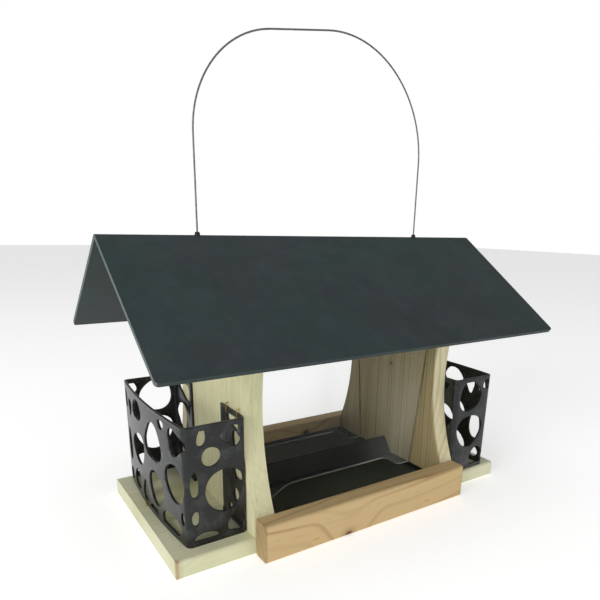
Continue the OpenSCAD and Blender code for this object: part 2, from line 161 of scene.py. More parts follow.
class FeederStage(bpy.types.PropertyGroup):
    """Camera, floor and light."""

    eye: FloatVectorProperty(
        name="Eye", description="Where the camera stands", default=(-0.3333, -0.4953, 0.2970), unit="LENGTH")
    azimuth: angle("Azimuth", "Turn of the camera", -34.2)
    elevation: angle("Elevation", "Height of the view", 17.42)
    roll: angle("Roll", "Tilt of the camera", 1.3)
    lens: FloatProperty(
        name="Lens", description="Focal length on the camera's sensor, in millimetres", default=32.71)
    shift: FloatVectorProperty(
        name="Shift", description="Shift of the lens", default=(-0.0297, 0.1608), size=2)
    floor: colour("Floor", "Plain pale floor", (0.97, 0.97, 0.97))


GROUPS = {"feeder_timber": FeederTimber, "feeder_plastic": FeederPlastic,
          "feeder_clear": FeederClear, "feeder_stage": FeederStage}


# ---- Shader maths ----------------------------------------------------------------------


class Value:
    """An output socket that can be used in Python arithmetic."""

    def __init__(self, paint, socket):
        self.paint = paint
        self.socket = socket

    def _math(self, operation, *terms):
        return self.paint.add("Math", {"operation": operation}, dict(enumerate(terms)))

    def __add__(self, other):
        return self._math("ADD", self, other)

    def __sub__(self, other):
        return self._math("SUBTRACT", self, other)

    def __rsub__(self, other):
        return self._math("SUBTRACT", other, self)

    def __mul__(self, other):
        return self._math("MULTIPLY", self, other)

    def __truediv__(self, other):
        return self._math("DIVIDE", self, other)

    def __pow__(self, power):
        return self._math("POWER", self, power)

    __radd__ = __add__
    __rmul__ = __mul__

    def sqrt(self):
        return self._math("SQRT", self)

    def fraction(self):
        return self._math("FRACT", self)

    def size(self):
        return self._math("ABSOLUTE", self)

    def rise(self, low, high):
        """0 below low, 1 above high and smooth between; falls instead where low is above high."""
        return self.paint.add("MapRange", {"interpolation_type": "SMOOTHSTEP"}, {0: self, 1: low, 2: high})


class Paint:
    """One procedural material, built node by node."""

    def __init__(self, name, roughness=0.5, **constants):
        self.material = bpy.data.materials.new(name)
        self.material.use_nodes = True
        self.tree = self.material.node_tree
        self.surface = self.tree.nodes["Principled BSDF"]
        self.surface.inputs["Roughness"].default_value = roughness
        for socket, number in constants.items():
            self.surface.inputs[socket.replace("_", " ")].default_value = number

    def add(self, kind, settings=None, links=None, out=0):
        """Makes one node: its settings first, then the values or links of its sockets."""
        node = self.tree.nodes.new("ShaderNode" + kind)
        for key, setting in (settings or {}).items():
            setattr(node, key, setting)
        for key, given in (links or {}).items():
            self.join(node.inputs[key], given)
        return Value(self, node.outputs[out])

    def join(self, socket, given):
        if isinstance(given, Value):
            self.tree.links.new(given.socket, socket)
        else:
            socket.default_value = given

    def place(self):
        return self.add("TexCoord", out="Object")

    def axes(self, vector):
        split = self.tree.nodes.new("ShaderNodeSeparateXYZ")
        self.join(split.inputs[0], vector)
        return [Value(self, split.outputs[i]) for i in range(3)]

    def vector(self, x, y, z):
        return self.add("CombineXYZ", links={0: x, 1: y, 2: z})

    def noise(self, vector, scale, detail=2.0, rough=0.5):
        links = {"Vector": vector, "Scale": scale, "Detail": detail, "Roughness": rough}
        return self.add("TexNoise", links=links)

    def blend(self, share, first, second, mode="MIX"):
        """Mixes two colours by a share."""
        node = self.tree.nodes.new("ShaderNodeMix")
        node.data_type = "RGBA"
        node.blend_type = mode
        self.join(node.inputs[0], share)
        for socket, given in ((node.inputs[6], first), (node.inputs[7], second)):
            self.join(socket, given if isinstance(given, Value) else (*given[:3], 1))
        return Value(self, node.outputs[2])

    def tone(self, given, amount):
        """Scales a colour's brightness by a varying amount."""
        return self.add("HueSaturation", links={"Color": given, "Value": amount})

    def finish(self, base=None, roughness=None, bump=None, depth=0.1 * MM, alpha=None, strength=1.0):
        for name, given in (("Base Color", base), ("Roughness", roughness), ("Alpha", alpha)):
            if given is not None:
                self.join(self.surface.inputs[name], given)
        if bump is not None:
            links = {"Height": bump, "Strength": strength, "Distance": depth}
            self.join(self.surface.inputs["Normal"], self.add("Bump", links=links))
        return self.material


def scaled(paint, along, first, second, stretch):
    """Object coordinates for a fibrous pattern: short across the grain, long along it."""
    return paint.vector(along * stretch[0], first * stretch[1], second * stretch[1])


def pine(name, light, dark, axis, pith, ring, knots=(), tint=(0.52, 0.54, 0.3), strength=0.5, bow=None,
         wander=0.003, seed=0.0, streaks=0.3, flecks=0.3, upright=True, heart_tone=None, ends=None,
         thin=0.35, quiet=None, inner_face_shade=None):
    """Planed softwood, cut from a log that lies along an axis, with its pith at a point across it.

    knots holds (along, across, radius, pull, span): the growth rings are pulled aside by as much as
    pull within span of the knot. bow, as (middle, bend per metre), bends the rings away along the
    board. ends is how far along the end grain stands, and how much darker it is. thin is where in
    each ring its dark part starts. quiet gives where the rings fade. The last argument, as (edge,
    depth, colour), is painted shade: it darkens the wood next to one face, where that face lies in shade.
    """
    timber = bpy.context.scene.feeder_timber
    paint = Paint(name, Specular_IOR_Level=0.25)
    x, y, z = paint.axes(paint.place())
    along, first, second = (x, y, z) if axis == "X" else (z, x, y)
    across = second if upright else first
    drift = paint.noise(scaled(paint, along + seed, first, second, (3.2, 9.0)), 1.0, 2.0) - 0.5
    sway = paint.noise(scaled(paint, along + seed + 3.1, first, second, (9.0, 22.0)), 1.0, 1.0) - 0.5
    u = first - pith[0] + drift * wander * 3
    v = second - pith[1] + sway * wander
    reach = (u * u + v * v).sqrt()
    if bow:
        reach = reach - (along - bow[0]) ** 2 * bow[1]
    hearts, rims = 0.0, 0.0
    for at, up, size, pull, span in knots:
        far = (((along - at) * 0.8) ** 2 + (across - up) ** 2).sqrt()
        reach = reach + far.rise(span, 0) * pull
        hearts = far.rise(size * 1.1, size * 0.6) + hearts
        rims = far.rise(size * 3, size * 0.8) + rims
    unsteady = paint.noise(scaled(paint, along + seed, first, second, (2.0, 30.0)), 1.0, 1.0)
    count = reach / ring + unsteady * 0.7
    part = count.fraction()
    late = part.rise(thin, 0.88) * part.rise(1.0, 0.93)
    if quiet:
        late = late * (second.size().rise(quiet[1], quiet[0]) * 0.8 + 0.2)
    uneven = paint.noise(paint.vector(count * 0.9, along * 3, seed), 1.0, 0.0)
    pores = paint.noise(scaled(paint, along, first, second, (26.0, 1500.0)), 1.0, 3.0, 0.6)
    streak = paint.noise(scaled(paint, along + seed, first, second, (1.6, 330.0)), 1.0, 3.0, 0.6)
    cloud = paint.noise(scaled(paint, along + seed + 7.7, first, second, (7.0, 14.0)), 1.0, 3.0)
    fleck = paint.noise(scaled(paint, along + seed, first, second, (60.0, 260.0)), 1.0, 3.0, 0.7)
    base = paint.blend(late * strength * uneven.rise(0.25, 0.75), light, dark)
    base = paint.blend(cloud.rise(0.42, 0.72) * 0.45, base, tint)
    base = paint.blend(fleck.rise(0.56, 0.8) * flecks, base, [d * 0.8 for d in dark])
    # Painted shade: darkens the wood within depth of one face, as if that face lay in shadow.
    if inner_face_shade:
        edge, depth, brown = inner_face_shade
        base = paint.blend(first.rise(edge + depth, edge + depth * 0.2) * 0.85, base,
                           paint.blend(1.0, base, brown, "MULTIPLY"))
    relief = pores * 0.5 + late * 0.5
    if knots:
        spot = paint.noise(paint.place(), 420.0, 2.0)
        base = paint.blend(rims * 0.4, base, [d * 0.7 for d in dark])
        base = paint.blend(hearts * (0.6 + spot * 0.35), base, heart_tone or timber.knot)
        relief = relief + hearts * 0.6
    shade = 0.97 - streaks * 0.5 + pores * 0.1 + streak * streaks
    if ends:
        shade = shade * (1 - along.size().rise(ends[0] - 1.5 * MM, ends[0] - 0.2 * MM) * ends[1])
    return paint.finish(paint.tone(base, shade), 0.52 + pores * 0.28 - late * 0.08, relief, 0.1 * MM,
                        strength=0.5)


def moulded(name, base, paler, grain=1700.0, roughness=0.5, mottle=0.16, specular=0.3, wear_and_sheen=0.4):
    """Moulded plastic: cloudy in tone, with fine grain, and paler patches and specks, some times paler than the
    base: partly wear and dust, partly painted sheen and glints.
    """
    paint = Paint(name, Specular_IOR_Level=specular)
    place = paint.place()
    cloud = paint.noise(place, 22.0, 4.0, 0.62)
    patch = paint.noise(place, 9.0, 3.0, 0.6)
    speck_and_glint = paint.noise(place, 1100.0, 2.0)
    skin = paint.noise(place, grain, 2.0, 0.6)
    rub_and_sheen = paint.noise(place, 70.0, 4.0, 0.7)
    fleck = [c * paler for c in base]
    green = [base[0] * 0.86, base[1] * 1.12, base[2] * 1.02]
    tone = paint.blend(patch.rise(0.4, 0.62), base, green)
    # Partly painted sheen: the paler patches and specks stand for wear and dust, and also for glints on glossy
    # plastic.
    tone = paint.blend(rub_and_sheen.rise(0.46, 0.66) * wear_and_sheen + speck_and_glint.rise(0.66, 0.8) * 0.3, tone, fleck)
    tone = paint.tone(tone, 1 - mottle + cloud * mottle * 2)
    return paint.finish(tone, roughness - 0.07 + rub_and_sheen * 0.16, skin + speck_and_glint * 0.4, 0.05 * MM, strength=0.35)


def metal(name, base, dull, roughness=0.3, grain=260.0):
    """Drawn or plated metal with a soft, cloudy polish."""
    paint = Paint(name, Metallic=1.0)
    place = paint.place()
    cloud = paint.noise(place, grain, 4.0, 0.6)
    fine = paint.noise(place, 2600.0, 2.0)
    tone = paint.blend(cloud.rise(0.4, 0.7), base, dull)
    return paint.finish(tone, roughness + cloud * 0.22, fine, 0.02 * MM, strength=0.3)


def clear(name, veil, share, roughness):
    """Clear sheet: mostly let through, with a faint veil and a polished face."""
    paint = Paint(name, IOR=1.49, Specular_IOR_Level=0.25)
    dust = paint.noise(paint.place(), 38.0, 5.0, 0.65)
    smear = paint.noise(paint.place(), 9.0, 2.0)
    paint.material.surface_render_method = "BLENDED"
    # Painted reflection: the pale veil thickens towards the pane's right-hand end, in smeared patches.
    painted_reflection = paint.axes(paint.place())[0].rise(0.01, 0.1) * smear.rise(0.3, 0.7) * share * PAINTED_REFLECTION
    return paint.finish((*veil, 1), roughness + dust * 0.06,
                        alpha=painted_reflection + share * 0.7 + dust * share * 0.4 + smear * share * 0.2)


# ---- Modelling by hand -----------------------------------------------------------------


def only(piece):
    """Selects one piece and nothing else."""
    if bpy.context.object and bpy.context.object.mode != "OBJECT":
        bpy.ops.object.mode_set(mode="OBJECT")
    bpy.ops.object.select_all(action="DESELECT")
    piece.select_set(True)
    bpy.context.view_layer.objects.active = piece
    return piece


def edit(piece, select="SELECT"):
    only(piece)
    bpy.ops.object.mode_set(mode="EDIT")
    bpy.ops.mesh.select_mode(type="FACE")
    bpy.ops.mesh.select_all(action=select)


def leave():
    bpy.ops.object.mode_set(mode="OBJECT")


def named(name):
    """Names the piece just added and settles its place into its mesh."""
    piece = bpy.context.object
    piece.name = name
    piece.data.name = name
    bpy.ops.object.transform_apply(location=True, rotation=True, scale=True)
    return piece


def block(name, low, high):
    """A box between two corners."""
    low, high = Vector(low), Vector(high)
    bpy.ops.object.select_all(action="DESELECT")
    bpy.ops.mesh.primitive_cube_add(size=1, location=(low + high) / 2)
    bpy.context.object.scale = high - low
    return named(name)


def rod(name, start, end, radius, sides=16):
    """A round bar between two points."""
    start, end = Vector(start), Vector(end)
    turn = (end - start).to_track_quat("Z", "Y").to_euler()
    bpy.ops.object.select_all(action="DESELECT")
    bpy.ops.mesh.primitive_cylinder_add(
        vertices=sides, radius=radius, depth=(end - start).length, location=(start + end) / 2, rotation=turn)
    return named(name)


def modify(piece, kind, **settings):
    """Adds one modifier and applies it."""
    only(piece)
    bpy.ops.object.modifier_add(type=kind)
    modifier = piece.modifiers[-1]
    for key, setting in settings.items():
        setattr(modifier, key, setting)
    bpy.ops.object.modifier_apply(modifier=modifier.name)
    return piece


def soften(piece, width, segments=2, angle=35):
    return modify(piece, "BEVEL", width=width, segments=segments, limit_method="ANGLE",
                  angle_limit=math.radians(angle), use_clamp_overlap=True, miter_outer="MITER_ARC")


def smooth(piece, angle=40):
    """Smooth shading over the bevels, with the flat faces kept flat."""
    only(piece)
    bpy.ops.object.shade_smooth_by_angle(angle=math.radians(angle))
    return modify(piece, "WEIGHTED_NORMAL", keep_sharp=True, weight=100)


def merge(pieces, name):
    """Joins pieces into one mesh."""
    only(pieces[0])
    for piece in pieces:
        piece.select_set(True)
    bpy.ops.object.join()
    pieces[0].name = name
    pieces[0].data.name = name
    return pieces[0]


def cut(piece, tool, operation="DIFFERENCE"):
    """Booleans a piece by a tool, which is used up."""
    modify(piece, "BOOLEAN", operation=operation, object=tool, solver="EXACT")
    bpy.data.objects.remove(tool)
    return piece


def cad_copy(node, name):
    """A merged copy of a CAD node's mesh, ready to be shaped."""
    piece = bpy.data.objects.new(name, frame["nodes"][node].data.copy())
    piece.data.name = name
    bpy.context.scene.collection.objects.link(piece)
    piece.data.materials.clear()
    only(piece)
    bpy.ops.mesh.customdata_custom_splitnormals_clear()
    edit(piece)
    bpy.ops.mesh.remove_doubles(threshold=0.002 * MM)
    bpy.ops.mesh.tris_convert_to_quads(face_threshold=math.radians(0.4), shape_threshold=math.pi)
    leave()
    return piece


def body_holding(node):
    for body, members in frame["record"]["behaviour"]["bodies"].items():
        if node in members:
            return body
    raise RuntimeError(f"no body holds {node}")


def dress(piece, node, *materials):
    """Gives a new piece its material and lets it stand for a CAD node."""
    if materials:
        piece.data.materials.clear()
    for material in materials:
        piece.data.materials.append(material)
    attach(piece, body_holding(node))
    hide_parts(node)
    return piece


def repaint(node, material):
    """Gives a CAD node that is shown as it is a better material."""
    mesh = frame["nodes"][node].data
    for i in range(max(1, len(mesh.materials))):
        if i < len(mesh.materials):
            mesh.materials[i] = material
        else:
            mesh.materials.append(material)


# ---- Timber ----------------------------------------------------------------------------


def softened_board(node, name, arris, material):
    piece = smooth(soften(cad_copy(node, name), arris, 3), 50)
    return dress(piece, node, material)


class FEEDER_OT_timber(bpy.types.Operator):
    """Base board, two side panels and the front and back rails"""

    bl_idname = "feeder.timber"
    bl_label = "Timber"

    def execute(self, context):
        timber = context.scene.feeder_timber
        low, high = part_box("base_board")
        base = pine("base_pine", timber.base_light, timber.base_dark, "X", (0.03, -0.075), 4.4 * MM,
                    knots=((low.x + 1 * MM, low.y + 1.5 * MM, 2 * MM, 4 * MM, 14 * MM),
                           (0.06, 0.05, 5 * MM, 8 * MM, 30 * MM)),
                    seed=1.3, strength=0.4, streaks=0.14, upright=False, heart_tone=timber.live_knot,
                    ends=(high.x, timber.end_shade))
        softened_board("base_board", "base_board_pine", timber.arris, base)
        panels = {
            "left": pine("panel_pine_left", timber.panel_light, timber.panel_dark, "Z", (-0.05, 0.3),
                         2.9 * MM, knots=((0.16, 0.02, 2.4 * MM, 4 * MM, 14 * MM),),
                         seed=1.0, strength=0.85, flecks=0.6, quiet=(0.068, 0.078)),
            "right": pine("panel_pine_right", timber.sap_light, timber.inner_dark, "Z", (-0.03, 0.26),
                          4.4 * MM, knots=((0.137, -0.004, 2.2 * MM, 4 * MM, 14 * MM),
                                           (0.2, 0.05, 3 * MM, 5 * MM, 18 * MM)),
                          seed=3.0, strength=0.8, tint=(0.66, 0.56, 0.33),
                          # painted shade on the panel's inner face, which lies under the roof
                          inner_face_shade=(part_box("side_panel_right")[0].x, 5 * MM, timber.inner_face_shade)),
        }
        for _, word in SIDES:
            softened_board(f"side_panel_{word}", f"side_panel_{word}_pine", timber.arris, panels[word])
        for side, word in FACES:
            low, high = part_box(f"{word}_rail")
            face = low.y if side < 0 else high.y
            knots = (((-0.034, 0.002, 3.8 * MM, 11.5 * MM, 46 * MM),) if side < 0
                     else ((0.05, 0.024, 3.6 * MM, 9 * MM, 40 * MM),))
            wood = pine(f"rail_pine_{word}", timber.rail_light, timber.rail_dark, "X",
                        (face - side * 0.06, -0.012), 8.0 * MM, knots=knots, tint=(0.59, 0.43, 0.22),
                        bow=(0.01, 0.3), wander=0.004, seed=5.0 + side, strength=0.75, streaks=0.1,
                        thin=0.62, ends=(high.x, 2.4 * timber.end_shade))
            softened_board(f"{word}_rail", f"{word}_rail_pine", timber.arris * 1.6, wood)
        return {"FINISHED"}


# ---- Roof ------------------------------------------------------------------------------


class FEEDER_OT_roof(bpy.types.Operator):
    """Gable roof moulding and its two wire grommets"""

    bl_idname = "feeder.roof"
    bl_label = "Roof"

    def execute(self, context):
        plastic = context.scene.feeder_plastic
        skin = moulded("roof_plastic", plastic.roof, 1.5, grain=1300.0, roughness=0.55, mottle=0.3,
                       specular=0.2, wear_and_sheen=0.3)
        rim = moulded("roof_edge_plastic", plastic.lit_roof_edge, 1.3)
        piece = smooth(soften(cad_copy("roof", "roof_moulding"), plastic.edge, 2), 32)
        dress(piece, "roof", skin, rim)
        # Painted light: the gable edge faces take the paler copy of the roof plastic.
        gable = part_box("roof")[1].x - 2 * MM
        for face in piece.data.polygons:
            if abs(face.normal.x) > 0.5 and abs(face.center.x) > gable:
                face.material_index = 1
        dark = moulded("grommet_plastic", plastic.tray, 2, roughness=0.4)
        for _, word in SIDES:
            node = f"roof_grommet_{word}"
            dress(smooth(soften(cad_copy(node, f"{node}_moulding"), 0.3 * MM, 2), 45), node, dark)
        return {"FINISHED"}


# ---- Cages -----------------------------------------------------------------------------


class CagePlan:
    """Path of a left-hand cage's wall in plan, by distance from the front flange's free end."""

    def __init__(self, plastic):
        low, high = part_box("cage_left")
        self.wall = plastic.wall
        self.radius = plastic.corner
        self.shift = (low.y + high.y) / 2
        self.half = (high.y - low.y) / 2 - plastic.proud
        self.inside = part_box("side_panel_left")[0].x
        self.middle_x = low.x + plastic.proud + self.wall / 2
        self.corner_x = low.x + plastic.proud + plastic.bow
        bow_r = (self.half**2 + plastic.bow**2) / (2 * plastic.bow)
        self.bow_r = bow_r - self.wall / 2
        self.bow_x = self.middle_x + self.bow_r
        self.free_y = self.half - plastic.flange
        self.flange_run = plastic.flange - self.wall / 2 - self.radius
        self.turn = self.radius * math.pi / 2
        self.in_x = self.inside - self.wall / 2 - self.radius
        line_y = self.half - self.wall / 2
        touch = math.asin((line_y - self.radius) / (self.bow_r - self.radius))
        self.out_x = self.bow_x - (self.bow_r - self.radius) * math.cos(touch)
        self.end_run = self.in_x - self.out_x
        self.out_turn = self.radius * (math.pi / 2 - touch)
        self.bow_run = self.bow_r * touch
        self.half_total = self.flange_run + self.turn + self.end_run + self.out_turn + self.bow_run

    def at(self, s):
        """Plan point at a distance along the path."""
        back = s > self.half_total
        s = 2 * self.half_total - s if back else s
        line_y = self.half - self.wall / 2
        if s <= self.flange_run:
            x, y = self.inside - self.wall / 2, self.free_y + s
        elif s <= self.flange_run + self.turn:
            a = (s - self.flange_run) / self.radius
            x = self.in_x + self.radius * math.cos(a)
            y = line_y - self.radius + self.radius * math.sin(a)
        elif s <= self.flange_run + self.turn + self.end_run:
            x, y = self.in_x - (s - self.flange_run - self.turn), line_y
        elif s <= self.half_total - self.bow_run:
            a = (s - (self.flange_run + self.turn + self.end_run)) / self.radius
            x = self.out_x - self.radius * math.sin(a)
            y = line_y - self.radius + self.radius * math.cos(a)
        else:
            a = (self.half_total - s) / self.bow_r
            x, y = self.bow_x - self.bow_r * math.cos(a), self.bow_r * math.sin(a)
        return x, (y if back else -y)

    def end_wall(self, along):
        return self.flange_run + self.turn + self.in_x - (self.corner_x + along)

    def outer(self, along):
        return self.half_total + self.bow_r * math.asin(along / self.bow_r)

    def flange(self, along):
        return self.half - along - self.free_y

    def mirrored(self, s):
        return 2 * self.half_total - s

    def creases(self):
        """Where the flat sheet is cut so that it can bend."""
        first = self.flange_run
        second = first + self.turn + self.end_run
        marks = [first + self.turn * i / 6 for i in range(7)]
        marks += [second + self.out_turn * i / 6 for i in range(7)]
        bows = 12
        start = self.half_total - self.bow_run
        marks += [start + self.bow_run * i / bows for i in range(1, bows)]
        return marks + [self.half_total] + [self.mirrored(s) for s in marks]


def pebble(hole, to_path, points, low, high):
    """Outline of one pebble hole on the flat sheet, kept between the bands."""
    along, up, width, height, lobe, lobe_turn, tilt = hole
    tilt, lobe_turn = math.radians(tilt), math.radians(lobe_turn)
    outline = []
    for i in range(points):
        a = 2 * math.pi * i / points
        swell = 1 + lobe * math.cos(3 * (a - lobe_turn))
        x, y = width / 2 * swell * math.cos(a), height / 2 * swell * math.sin(a)
        across = along + x * math.cos(tilt) - y * math.sin(tilt)
        rise = min(max((up + x * math.sin(tilt) + y * math.cos(tilt)) * MM, low), high)
        outline.append((to_path(across * MM), rise))
    return [p for i, p in enumerate(outline) if (Vector(p) - Vector(outline[i - 1])).length > 0.15 * MM]


def flat_plate(name, outlines, thickness, edge):
    """A sheet with holes, its edges rounded, standing on X with its thickness along Y."""
    sheet = bpy.data.curves.new(name, "CURVE")
    sheet.dimensions = "2D"
    sheet.fill_mode = "BOTH"
    sheet.extrude = thickness / 2 - edge
    sheet.bevel_depth = edge
    sheet.bevel_resolution = 2
    sheet.offset = -edge
    for outline in outlines:
        spline = sheet.splines.new("POLY")
        spline.points.add(len(outline) - 1)
        for point, (x, y) in zip(spline.points, outline):
            point.co = (x, y, 0, 1)
        spline.use_cyclic_u = True
    piece = bpy.data.objects.new(name, sheet)
    bpy.context.scene.collection.objects.link(piece)
    only(piece)
    piece.rotation_euler = (math.pi / 2, 0, 0)
    bpy.ops.object.convert(target="MESH")
    piece = bpy.context.object
    bpy.ops.object.transform_apply(location=True, rotation=True, scale=True)
    edit(piece)
    bpy.ops.mesh.remove_doubles(threshold=0.004 * MM)
    bpy.ops.mesh.normals_make_consistent(inside=False)
    leave()
    return piece


def cage_moulding(name, plastic):
    """One cage at the left-hand end: a pierced sheet, bent round its plan."""
    plan = CagePlan(plastic)
    low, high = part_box("cage_left")
    tall = high.z - low.z
    full = 2 * plan.half_total
    outlines = [[(0, 0), (full, 0), (full, tall), (0, tall)]]
    walls = (
        (FRONT_HOLES, plan.end_wall), (OUTER_HOLES, plan.outer),
        (BACK_HOLES, lambda a: plan.mirrored(plan.end_wall(a))),
        (FRONT_FLANGE_HOLES, plan.flange),
        (BACK_FLANGE_HOLES, lambda a: plan.mirrored(plan.flange(a))),
    )
    for holes, to_path in walls:
        for hole in holes:
            outlines.append(pebble(hole, to_path, plastic.pebble_points, plastic.band, tall - plastic.band))
    piece = flat_plate(name, outlines, plastic.wall, plastic.edge)
    edit(piece)
    for height in (plastic.band - STEP, plastic.band - 2 * STEP):
        bpy.ops.mesh.select_all(action="SELECT")
        bpy.ops.mesh.bisect(plane_co=(0, 0, height), plane_no=(0, 0, 1))
    for crease in sorted(plan.creases()):
        bpy.ops.mesh.select_all(action="SELECT")
        bpy.ops.mesh.bisect(plane_co=(crease, 0, 0), plane_no=(1, 0, 0))
    leave()
    return bend(piece, plan, low.z, plastic)


def bend(piece, plan, foot, plastic):
    """Bends the flat sheet along its plan and stands the foot band proud of it."""
    full = 2 * plan.half_total
    step = 0.02 * MM
    outward = plan.wall / 2
    for vertex in piece.data.vertices:
        s, away, up = vertex.co
        s = min(max(s, 0), full)
        before, after = plan.at(max(s - step, 0)), plan.at(min(s + step, full))
        run = Vector((after[0] - before[0], after[1] - before[1])).normalized()
        if away > outward * 0.5 and up < plastic.band - 1.5 * STEP:
            away += plastic.proud
        x, y = plan.at(s)
        vertex.co = (x + run.y * away, plan.shift + y - run.x * away, foot + up)
    return piece


class FEEDER_OT_cages(bpy.types.Operator):
    """The two pebble-pattern end cages, one moulding turned half round"""

    bl_idname = "feeder.cages"
    bl_label = "Cages"

    def execute(self, context):
        plastic = context.scene.feeder_plastic
        # The strong paler patches and specks here are partly painted sheen and glints.
        skin = moulded("cage_plastic", plastic.cage, 4, roughness=0.28, mottle=0.35, specular=0.36,
                       wear_and_sheen=0.75)
        left = smooth(cage_moulding("cage_left_moulding", plastic), 38)
        edit(left)
        bpy.ops.mesh.normals_make_consistent(inside=False)
        leave()
        right = bpy.data.objects.new("cage_right_moulding", left.data.copy())
        right.data.name = "cage_right_moulding"
        context.scene.collection.objects.link(right)
        right.data.transform(Matrix.Rotation(math.pi, 4, "Z"))
        dress(left, "cage_left", skin)
        dress(right, "cage_right", skin)
        return {"FINISHED"}


# ---- Seed tray -------------------------------------------------------------------------


def floor_mesh(node, name, clear_set):
    """A welded mesh insert: round strands both ways inside a flat border."""
    low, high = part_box(node)
    middle = (low.z + high.z) / 2
    border = 2.6 * MM
    lift = clear_set.strand * 0.3
    lines = int((high.x - low.x - border) / clear_set.pitch)
    rows = int((high.y - low.y - border) / clear_set.pitch)
    first = Vector((low.x + border / 2, low.y + border / 2, middle))
    last = Vector((high.x - border / 2, high.y - border / 2, middle))
    along, across = (last.x - first.x) / lines, (last.y - first.y) / rows
    warp = rod("warp", (first.x + along, first.y, middle + lift), (first.x + along, last.y, middle + lift),
               clear_set.strand / 2, 6)
    weft = rod("weft", (first.x, first.y + across, middle - lift), (last.x, first.y + across, middle - lift),
               clear_set.strand / 2, 6)
    for strand, count, offset in ((warp, lines - 1, (along, 0, 0)), (weft, rows - 1, (0, across, 0))):
        modify(strand, "ARRAY", count=count, use_relative_offset=False, use_constant_offset=True,
               constant_offset_displace=offset)
    bars = [
        block("bar", (low.x, low.y, low.z), (high.x, low.y + border, high.z)),
        block("bar", (low.x, high.y - border, low.z), (high.x, high.y, high.z)),
        block("bar", (low.x, low.y + border, low.z), (low.x + border, high.y - border, high.z)),
        block("bar", (high.x - border, low.y + border, low.z), (high.x, high.y - border, high.z)),
    ]
    for bar in bars:
        soften(bar, 0.2 * MM, 2)
    return smooth(merge([warp, weft, *bars], name), 50)


class FEEDER_OT_tray(bpy.types.Operator):
    """Seed tray with its ridge, and the two mesh floors"""

    bl_idname = "feeder.tray"
    bl_label = "Seed tray"

    def execute(self, context):
        plastic, clear_set = context.scene.feeder_plastic, context.scene.feeder_clear
        skin = moulded("tray_plastic", plastic.tray, 2.6, grain=900.0, roughness=0.55, specular=0.12)
        dress(smooth(soften(cad_copy("seed_tray", "seed_tray_moulding"), 0.7 * MM, 3), 45), "seed_tray", skin)
        strand = moulded("tray_mesh", plastic.mesh, 1.6, roughness=0.42)
        for _, word in FACES:
            node = f"tray_mesh_{word}"
            dress(floor_mesh(node, f"{node}_strands", clear_set), node, strand)
        return {"FINISHED"}


# ---- Panes -----------------------------------------------------------------------------


class FEEDER_OT_panes(bpy.types.Operator):
    """The two clear hopper panes"""

    bl_idname = "feeder.panes"
    bl_label = "Panes"

    def execute(self, context):
        clear_set = context.scene.feeder_clear
        face = clear("clear_acrylic", clear_set.pane, clear_set.veil, 0.04)
        rim = clear("clear_acrylic_edge", [c * 0.8 for c in clear_set.pane], 0.5, 0.12)
        for side, word in FACES:
            node = f"{word}_pane"
            piece = smooth(soften(cad_copy(node, f"{node}_sheet"), 0.25 * MM, 2), 40)
            dress(piece, node, face, rim)
            lean = Vector(next(j["axis"] for j in frame["joints"] if j["name"] == f"{node}_lift"))
            outward = Vector((0, side * lean.z, -side * lean.y))
            for polygon in piece.data.polygons:
                if abs(polygon.normal.dot(outward)) < 0.9:
                    polygon.material_index = 1
        return {"FINISHED"}


# ---- Bail and fasteners ----------------------------------------------------------------


class FEEDER_OT_bail(bpy.types.Operator):
    """Wire bail with its screw eyes and ferrules"""

    bl_idname = "feeder.bail"
    bl_label = "Bail"

    def execute(self, context):
        repaint("hanger_wire", metal("bail_wire", (0.22, 0.22, 0.215), (0.1, 0.1, 0.098), 0.36, 900.0))
        zinc = metal("zinc", (0.62, 0.62, 0.6), (0.36, 0.36, 0.35), 0.28)
        for _, word in SIDES:
            repaint(f"screw_eye_{word}", zinc)
            node = f"wire_ferrule_{word}"
            dress(smooth(soften(cad_copy(node, f"{node}_crimp"), 0.3 * MM, 2), 45), node, zinc)
        return {"FINISHED"}


def cross_recess(piece, centre, radius, depth):
    """Cuts a cross recess into a screw's head, which faces down."""
    arm = radius * 0.58
    slot = radius * 0.17
    for x, y in ((arm, slot), (slot, arm)):
        low = (centre.x - x, centre.y - y, centre.z - depth)
        high = (centre.x + x, centre.y + y, centre.z + depth)
        cut(piece, block("recess", low, high))


class FEEDER_OT_fasteners(bpy.types.Operator):
    """Staples and panel screws"""

    bl_idname = "feeder.fasteners"
    bl_label = "Fasteners"

    def execute(self, context):
        zinc = metal("zinc_screw", (0.66, 0.66, 0.62), (0.42, 0.42, 0.39), 0.25)
        brass = metal("staple_wire", (0.62, 0.42, 0.13), (0.33, 0.2, 0.06), 0.3)
        head = 4 * MM
        recess = 1.6 * MM
        for _, word in SIDES:
            node = f"panel_screws_{word}"
            piece = cad_copy(node, f"{node}_heads")
            low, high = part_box(node)
            for y in (low.y + head, high.y - head):
                cross_recess(piece, Vector(((low.x + high.x) / 2, y, low.z)), head, recess)
            dress(smooth(piece, 40), node, zinc)
            node = f"cage_staples_{word}"
            dress(smooth(soften(cad_copy(node, f"{node}_wire"), 0.15 * MM, 2), 40), node, brass)
        for _, word in FACES:
            node = f"rail_staples_{word}"
            dress(smooth(soften(cad_copy(node, f"{node}_wire"), 0.15 * MM, 2), 40), node, brass)
        return {"FINISHED"}


# ---- Stage -----------------------------------------------------------------------------


def lamp(name, place, target, size, power):
    light = bpy.data.lights.new(name, "AREA")
    light.shape = "DISK"
    light.size = size
    light.energy = power
    holder = bpy.data.objects.new(name, light)
    bpy.context.scene.collection.objects.link(holder)
    holder.location = place
    holder.rotation_euler = (Vector(target) - Vector(place)).to_track_quat("-Z", "Y").to_euler()


